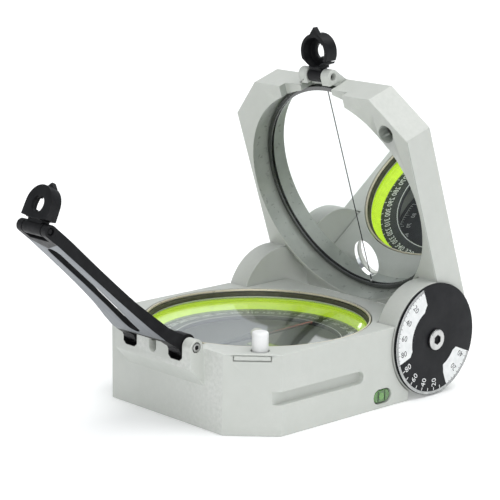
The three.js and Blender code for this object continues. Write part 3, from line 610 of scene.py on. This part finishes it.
# ------------------------------------------------------------------ protractor disc
_dx = Matrix.Translation((0, HINGE[0], HINGE[1])) @ Matrix(((0, 0, 1, 0), (1, 0, 0, 0), (0, 1, 0, 0), (0, 0, 0, 1)))
lathe("protractor_disc_fine", rounded([(2.3, 35.8), (16.75, 35.8), (16.75, 36.65), (2.3, 36.65)], 0.12), "lid", "disc", ["disc"],
      m=_dx, n=144, replaces=("protractor_disc",))
_dp = _dx @ Matrix.Translation((0, 0, 36.65))


def sector(pr, a0, a1, r_in, r_out, cut0, cut1, n):
    """A white field with its inner corners cut off."""
    for i in range(n):
        quad = []
        for k in (0, 1):
            t = (i + k) / n
            a = a0 + (a1 - a0) * t
            s = (a - a0) if (a - a0) < (a1 - a) else (a1 - a)
            cut = cut0 if (a - a0) < (a1 - a) else cut1
            r = r_in + max(0.0, cut[1] * (1 - s / cut[0])) if s < cut[0] else r_in
            quad.append((a, r))
        (p, rp), (q, rq) = quad
        p, q = rad(p), rad(q)
        pr.poly([(rp * math.cos(p), rp * math.sin(p)), (r_out * math.cos(p), r_out * math.sin(p)),
                 (r_out * math.cos(q), r_out * math.sin(q)), (rq * math.cos(q), rq * math.sin(q))])


pr = Print(_dp)
sector(pr, 109.3, 199.4, 9.95, 16.6, (9.5, 1.6), (7.0, 1.2), 60)
sector(pr, 290.6, 337.2, 9.3, 16.6, (4.0, 2.3), (7.5, 0.9), 40)
pr.make("disc_white_fields", "lid", "white", "print")
pr = Print(_dp @ Matrix.Translation((0, 0, 0.02)))
for v in range(0, 91):
    pr.tick(rad(109.5 + v), 16.5, 15.1 if v % 10 == 0 else (15.35 if v % 5 == 0 else 15.7), 0.13)
for v in (20, 40, 60, 80):
    a = rad(109.5 + v)
    pr.text(str(v), 13.5 * math.cos(a), 13.5 * math.sin(a), 1.75, a + math.pi)
for v in range(0, 47):
    pr.tick(rad(290.5 + v), 16.5, 15.1 if v % 10 == 0 else (15.35 if v % 5 == 0 else 15.7), 0.13)
for v in (20, 40):
    a = rad(290.5 + v)
    pr.text(str(v), 13.2 * math.cos(a), 13.2 * math.sin(a), 1.75, a + math.pi)
pr.make("disc_black_marks", "lid", "black", "ink")
pr = Print(_dp)
for v in range(10, 90, 10):
    pr.tick(rad(290 - v), 15.6, 14.7, 0.26)
for v in (20, 40, 60, 80):
    a = rad(290 - v)
    pr.text(str(v), 13.2 * math.cos(a), 13.2 * math.sin(a), 1.9, a + math.pi)
pr.make("disc_white_marks", "lid", "white", "print")
pr = Print(_dp)
pr.arc(15.75, 16.6, rad(200), rad(290.2), 60)
pr.make("disc_silver_arc", "lid", "steel", "silver")

# ------------------------------------------------------------------ floor, world and lights
bpy.ops.mesh.primitive_plane_add(size=6, location=(0, 0, -0.00005))
floor = bpy.context.object
floor.name = "floor"
_m, _nt, _p, _ = new_mat("floor_white")
_nt.links.new(ramp(_nt, noise(_nt, 3, 2.0), [(0.2, (0.93, 0.935, 0.935)), (0.8, (0.95, 0.955, 0.955))]), _p.inputs["Base Color"])
_p.inputs["Roughness"].default_value = 0.85
_p.inputs["Specular IOR Level"].default_value = 0.1
_p.inputs["Emission Color"].default_value = (0.98, 0.99, 1.0, 1)
_p.inputs["Emission Strength"].default_value = 0.16
floor.data.materials.append(_m)

world = bpy.data.worlds.new("studio")
SC.world = world
world.use_nodes = True
nt = world.node_tree
for n in list(nt.nodes):
    nt.nodes.remove(n)
wo = nt.nodes.new("ShaderNodeOutputWorld")
b1, b2 = nt.nodes.new("ShaderNodeBackground"), nt.nodes.new("ShaderNodeBackground")
tc = nt.nodes.new("ShaderNodeTexCoord")
sx = nt.nodes.new("ShaderNodeSeparateXYZ")
nt.links.new(tc.outputs["Generated"], sx.inputs[0])
band = ramp(nt, sx.outputs["Z"], [(0.0, (0.80, 0.83, 0.86)), (0.26, (0.74, 0.78, 0.82)), (0.42, (0.22, 0.23, 0.24)), (0.66, (0.20, 0.21, 0.22)),
                                 (0.86, (0.95, 0.96, 0.97))])
nt.links.new(band, b1.inputs[0])
b1.inputs[1].default_value = 1.0
dome = ramp(nt, sx.outputs["Z"], [(0.0, (0.22, 0.225, 0.23)), (0.35, (0.28, 0.285, 0.29)), (0.75, (0.62, 0.63, 0.64)), (1.0, (0.85, 0.86, 0.87))])
nt.links.new(dome, b2.inputs[0])
b2.inputs[1].default_value = 1.0
lp = nt.nodes.new("ShaderNodeLightPath")
mx = nt.nodes.new("ShaderNodeMixShader")
nt.links.new(lp.outputs["Is Diffuse Ray"], mx.inputs[0])
nt.links.new(b1.outputs[0], mx.inputs[1])
nt.links.new(b2.outputs[0], mx.inputs[2])
nt.links.new(mx.outputs[0], wo.inputs[0])


def sun(name, direction, strength, spread, colour=(1, 1, 1)):
    d = bpy.data.lights.new(name, "SUN")
    d.energy = strength
    d.angle = math.radians(spread)
    d.color = colour
    o = bpy.data.objects.new(name, d)
    o.rotation_mode = "QUATERNION"
    o.rotation_quaternion = Vector(direction).to_track_quat("Z", "Y")
    SC.collection.objects.link(o)


sun("rear_top_softbox", (0.12, 0.26, 0.95), 1.65, 60)
sun("front_right_softbox", (0.70, -0.58, 0.42), 0.80, 50)

SC.view_settings.view_transform = "Standard"
SC.view_settings.look = "None"
